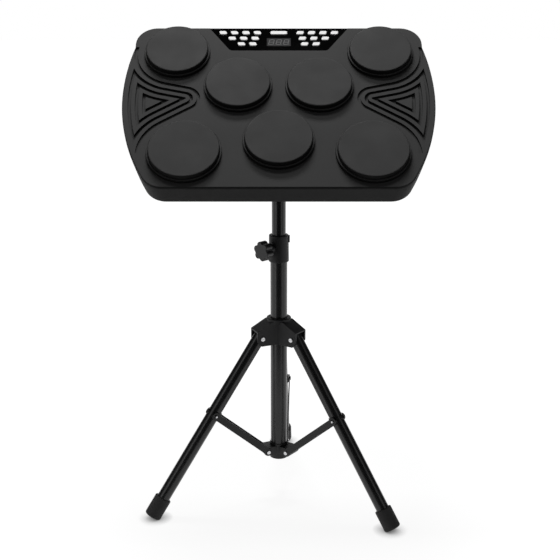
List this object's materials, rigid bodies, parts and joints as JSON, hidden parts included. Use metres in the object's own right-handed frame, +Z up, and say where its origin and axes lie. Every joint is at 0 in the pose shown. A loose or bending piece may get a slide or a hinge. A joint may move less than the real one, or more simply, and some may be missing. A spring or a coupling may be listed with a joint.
{
  "type": "electronic drum kit",
  "caption": "Table-top electronic drum with round rubber pads, a button console and a display, tilting on a height-adjustable folding tripod stand.",
  "frame": {"origin": "on the floor under the middle of the whole object's box", "axes": "+Z up, the player stands at -Y, +X to the player's right"},
  "size_m": [0.55, 0.4322, 0.883],
  "materials": {
    "case_plastic": "fine satin texture",
    "pad_rubber": "matt",
    "gloss_black": "polished",
    "display_lens": "smoked, polished",
    "display_module": "matt face with bar digits",
    "white_button": "satin",
    "silicone": "matt",
    "board": "solder mask",
    "sensor_brass": "plain",
    "foam": "open cell",
    "bright_steel": "zinc plated",
    "socket_plastic": "moulded",
    "black_steel": "semi-gloss powder coat",
    "stand_plastic": "moulded, glass filled",
    "knob_plastic": "moulded",
    "foot_rubber": "matt"
  },
  "bodies": {
    "column": {"lower_tube": "black_steel", "height_collar": "stand_plastic", "spreader_bracket": "black_steel", "spreader_rivets": "bright_steel"},
    "height_knob": {"height_knob": "knob_plastic"},
    "hub": {"leg_hub": "stand_plastic", "hub_screws": "bright_steel"},
    "post": {"upper_tube": "black_steel"},
    "head": {"tilt_head": "stand_plastic"},
    "tilt_knob": {"tilt_knob": "knob_plastic"},
    "drum": {"upper_shell": "case_plastic", "lower_shell": "case_plastic", "console_fascia": "gloss_black", "display_lens": "display_lens", "led_display": "display_module", "button_mat": "silicone", "main_board": "board", "pad_sensors": "sensor_brass", "pad_foam_rings": "foam", "case_screws": "bright_steel", "rear_jacks": "socket_plastic", "mount_plate": "black_steel"},
    "leg_1": {"leg_1": "black_steel", "foot_1": "foot_rubber", "leg_clip_1": "black_steel"},
    "strut_1": {"strut_1": "black_steel"},
    "leg_2": {"leg_2": "black_steel", "foot_2": "foot_rubber", "leg_clip_2": "black_steel"},
    "strut_2": {"strut_2": "black_steel"},
    "leg_3": {"leg_3": "black_steel", "foot_3": "foot_rubber", "leg_clip_3": "black_steel"},
    "strut_3": {"strut_3": "black_steel"},
    "drum_pad_1": {"drum_pad_1": "pad_rubber"},
    "drum_pad_2": {"drum_pad_2": "pad_rubber"},
    "drum_pad_3": {"drum_pad_3": "pad_rubber"},
    "drum_pad_4": {"drum_pad_4": "pad_rubber"},
    "drum_pad_5": {"drum_pad_5": "pad_rubber"},
    "drum_pad_6": {"drum_pad_6": "pad_rubber"},
    "drum_pad_7": {"drum_pad_7": "pad_rubber"},
    "button_left_1": {"button_left_1": "white_button"},
    "button_left_2": {"button_left_2": "white_button"},
    "button_left_3": {"button_left_3": "white_button"},
    "button_left_4": {"button_left_4": "white_button"},
    "button_left_5": {"button_left_5": "white_button"},
    "button_left_6": {"button_left_6": "white_button"},
    "button_left_7": {"button_left_7": "white_button"},
    "button_left_8": {"button_left_8": "white_button"},
    "button_left_9": {"button_left_9": "white_button"},
    "button_right_1": {"button_right_1": "white_button"},
    "button_right_2": {"button_right_2": "white_button"},
    "button_right_3": {"button_right_3": "white_button"},
    "button_right_4": {"button_right_4": "white_button"},
    "button_right_5": {"button_right_5": "white_button"},
    "button_right_6": {"button_right_6": "white_button"},
    "button_right_7": {"button_right_7": "white_button"},
    "button_right_8": {"button_right_8": "white_button"},
    "button_right_9": {"button_right_9": "white_button"},
    "button_wide": {"button_wide": "white_button"}
  },
  "joints": [
    {"name": "hub_slide", "type": "slide", "parent": "column", "child": "hub", "axis": [0, 0, 1], "range_m": [0, 0.07471]},
    {"name": "leg_1_fold", "type": "hinge", "parent": "hub", "child": "leg_1", "pos_m": [0.0017, -0.01265, 0.3275], "axis": [-0.999, 0.0436, 0], "range_deg": [0, 31.01]},
    {"name": "strut_1_fold", "type": "hinge", "parent": "column", "child": "strut_1", "pos_m": [0.00122, -0.02364, 0.099], "axis": [0.999, -0.0436, 0], "range_deg": [0, 41]},
    {"name": "leg_2_fold", "type": "hinge", "parent": "hub", "child": "leg_2", "pos_m": [0.03155, -0.07454, 0.3275], "axis": [0.5878, 0.809, 0], "range_deg": [0, 31.01]},
    {"name": "strut_2_fold", "type": "hinge", "parent": "column", "child": "strut_2", "pos_m": [0.02265, -0.06807, 0.099], "axis": [-0.5878, -0.809, 0], "range_deg": [0, 41]},
    {"name": "leg_3_fold", "type": "hinge", "parent": "hub", "child": "leg_3", "pos_m": [-0.03576, -0.06717, 0.3275], "axis": [0.3987, -0.9171, 0], "range_deg": [0, 31.01]},
    {"name": "strut_3_fold", "type": "hinge", "parent": "column", "child": "strut_3", "pos_m": [-0.02568, -0.06278, 0.099], "axis": [-0.3987, 0.9171, 0], "range_deg": [0, 41]},
    {"name": "height_slide", "type": "slide", "parent": "column", "child": "post", "axis": [0, 0, 1], "range_m": [-0.08, 0.15]},
    {"name": "swivel", "type": "hinge", "parent": "post", "child": "head", "pos_m": [0, -0.05162, 0.65441], "axis": [0, 0, 1], "continuous": true},
    {"name": "drum_tilt", "type": "hinge", "parent": "head", "child": "drum", "pos_m": [0, -0.05162, 0.68041], "axis": [1, 0, 0], "range_deg": [-41.5, 18.5]},
    {"name": "tilt_knob_turn", "type": "hinge", "parent": "head", "child": "tilt_knob", "pos_m": [0, -0.05162, 0.68041], "axis": [-1, 0, 0], "range_deg": [0, 360]},
    {"name": "height_knob_turn", "type": "hinge", "parent": "column", "child": "height_knob", "pos_m": [0, -0.05162, 0.49481], "axis": [-0.7071, -0.7071, 0], "range_deg": [0, 360]},
    {"name": "drum_pad_1_press", "type": "slide", "parent": "drum", "child": "drum_pad_1", "axis": [0, 0.6626, -0.749], "range_m": [0, 0.001], "stiffness_N_per_m": 6000, "springref_m": -0.0005, "deforming": ["pad_foam_rings"]},
    {"name": "drum_pad_2_press", "type": "slide", "parent": "drum", "child": "drum_pad_2", "axis": [0, 0.6626, -0.749], "range_m": [0, 0.001], "stiffness_N_per_m": 6000, "springref_m": -0.0005, "deforming": ["pad_foam_rings"]},
    {"name": "drum_pad_3_press", "type": "slide", "parent": "drum", "child": "drum_pad_3", "axis": [0, 0.6626, -0.749], "range_m": [0, 0.001], "stiffness_N_per_m": 6000, "springref_m": -0.0005, "deforming": ["pad_foam_rings"]},
    {"name": "drum_pad_4_press", "type": "slide", "parent": "drum", "child": "drum_pad_4", "axis": [0, 0.6626, -0.749], "range_m": [0, 0.001], "stiffness_N_per_m": 6000, "springref_m": -0.0005, "deforming": ["pad_foam_rings"]},
    {"name": "drum_pad_5_press", "type": "slide", "parent": "drum", "child": "drum_pad_5", "axis": [0, 0.6626, -0.749], "range_m": [0, 0.001], "stiffness_N_per_m": 6000, "springref_m": -0.0005, "deforming": ["pad_foam_rings"]},
    {"name": "drum_pad_6_press", "type": "slide", "parent": "drum", "child": "drum_pad_6", "axis": [0, 0.6626, -0.749], "range_m": [0, 0.001], "stiffness_N_per_m": 6000, "springref_m": -0.0005, "deforming": ["pad_foam_rings"]},
    {"name": "drum_pad_7_press", "type": "slide", "parent": "drum", "child": "drum_pad_7", "axis": [0, 0.6626, -0.749], "range_m": [0, 0.001], "stiffness_N_per_m": 6000, "springref_m": -0.0005, "deforming": ["pad_foam_rings"]},
    {"name": "button_left_1_press", "type": "slide", "parent": "drum", "child": "button_left_1", "axis": [0, 0.6626, -0.749], "range_m": [0, 0.001], "stiffness_N_per_m": 400, "springref_m": -0.0005, "deforming": ["button_mat"]},
    {"name": "button_left_2_press", "type": "slide", "parent": "drum", "child": "button_left_2", "axis": [0, 0.6626, -0.749], "range_m": [0, 0.001], "stiffness_N_per_m": 400, "springref_m": -0.0005, "deforming": ["button_mat"]},
    {"name": "button_left_3_press", "type": "slide", "parent": "drum", "child": "button_left_3", "axis": [0, 0.6626, -0.749], "range_m": [0, 0.001], "stiffness_N_per_m": 400, "springref_m": -0.0005, "deforming": ["button_mat"]},
    {"name": "button_left_4_press", "type": "slide", "parent": "drum", "child": "button_left_4", "axis": [0, 0.6626, -0.749], "range_m": [0, 0.001], "stiffness_N_per_m": 400, "springref_m": -0.0005, "deforming": ["button_mat"]},
    {"name": "button_left_5_press", "type": "slide", "parent": "drum", "child": "button_left_5", "axis": [0, 0.6626, -0.749], "range_m": [0, 0.001], "stiffness_N_per_m": 400, "springref_m": -0.0005, "deforming": ["button_mat"]},
    {"name": "button_left_6_press", "type": "slide", "parent": "drum", "child": "button_left_6", "axis": [0, 0.6626, -0.749], "range_m": [0, 0.001], "stiffness_N_per_m": 400, "springref_m": -0.0005, "deforming": ["button_mat"]},
    {"name": "button_left_7_press", "type": "slide", "parent": "drum", "child": "button_left_7", "axis": [0, 0.6626, -0.749], "range_m": [0, 0.001], "stiffness_N_per_m": 400, "springref_m": -0.0005, "deforming": ["button_mat"]},
    {"name": "button_left_8_press", "type": "slide", "parent": "drum", "child": "button_left_8", "axis": [0, 0.6626, -0.749], "range_m": [0, 0.001], "stiffness_N_per_m": 400, "springref_m": -0.0005, "deforming": ["button_mat"]},
    {"name": "button_left_9_press", "type": "slide", "parent": "drum", "child": "button_left_9", "axis": [0, 0.6626, -0.749], "range_m": [0, 0.001], "stiffness_N_per_m": 400, "springref_m": -0.0005, "deforming": ["button_mat"]},
    {"name": "button_right_1_press", "type": "slide", "parent": "drum", "child": "button_right_1", "axis": [0, 0.6626, -0.749], "range_m": [0, 0.001], "stiffness_N_per_m": 400, "springref_m": -0.0005, "deforming": ["button_mat"]},
    {"name": "button_right_2_press", "type": "slide", "parent": "drum", "child": "button_right_2", "axis": [0, 0.6626, -0.749], "range_m": [0, 0.001], "stiffness_N_per_m": 400, "springref_m": -0.0005, "deforming": ["button_mat"]},
    {"name": "button_right_3_press", "type": "slide", "parent": "drum", "child": "button_right_3", "axis": [0, 0.6626, -0.749], "range_m": [0, 0.001], "stiffness_N_per_m": 400, "springref_m": -0.0005, "deforming": ["button_mat"]},
    {"name": "button_right_4_press", "type": "slide", "parent": "drum", "child": "button_right_4", "axis": [0, 0.6626, -0.749], "range_m": [0, 0.001], "stiffness_N_per_m": 400, "springref_m": -0.0005, "deforming": ["button_mat"]},
    {"name": "button_right_5_press", "type": "slide", "parent": "drum", "child": "button_right_5", "axis": [0, 0.6626, -0.749], "range_m": [0, 0.001], "stiffness_N_per_m": 400, "springref_m": -0.0005, "deforming": ["button_mat"]},
    {"name": "button_right_6_press", "type": "slide", "parent": "drum", "child": "button_right_6", "axis": [0, 0.6626, -0.749], "range_m": [0, 0.001], "stiffness_N_per_m": 400, "springref_m": -0.0005, "deforming": ["button_mat"]},
    {"name": "button_right_7_press", "type": "slide", "parent": "drum", "child": "button_right_7", "axis": [0, 0.6626, -0.749], "range_m": [0, 0.001], "stiffness_N_per_m": 400, "springref_m": -0.0005, "deforming": ["button_mat"]},
    {"name": "button_right_8_press", "type": "slide", "parent": "drum", "child": "button_right_8", "axis": [0, 0.6626, -0.749], "range_m": [0, 0.001], "stiffness_N_per_m": 400, "springref_m": -0.0005, "deforming": ["button_mat"]},
    {"name": "button_right_9_press", "type": "slide", "parent": "drum", "child": "button_right_9", "axis": [0, 0.6626, -0.749], "range_m": [0, 0.001], "stiffness_N_per_m": 400, "springref_m": -0.0005, "deforming": ["button_mat"]},
    {"name": "button_wide_press", "type": "slide", "parent": "drum", "child": "button_wide", "axis": [0, 0.6626, -0.749], "range_m": [0, 0.001], "stiffness_N_per_m": 400, "springref_m": -0.0005, "deforming": ["button_mat"]}
  ],
  "couplings": [
    {"joint": "leg_1_fold", "follows": "hub_slide", "rad_per_m": 7.2418},
    {"joint": "strut_1_fold", "follows": "hub_slide", "rad_per_m": 9.5744},
    {"joint": "leg_2_fold", "follows": "hub_slide", "rad_per_m": 7.2418},
    {"joint": "strut_2_fold", "follows": "hub_slide", "rad_per_m": 9.5744},
    {"joint": "leg_3_fold", "follows": "hub_slide", "rad_per_m": 7.2418},
    {"joint": "strut_3_fold", "follows": "hub_slide", "rad_per_m": 9.5744}
  ]
}
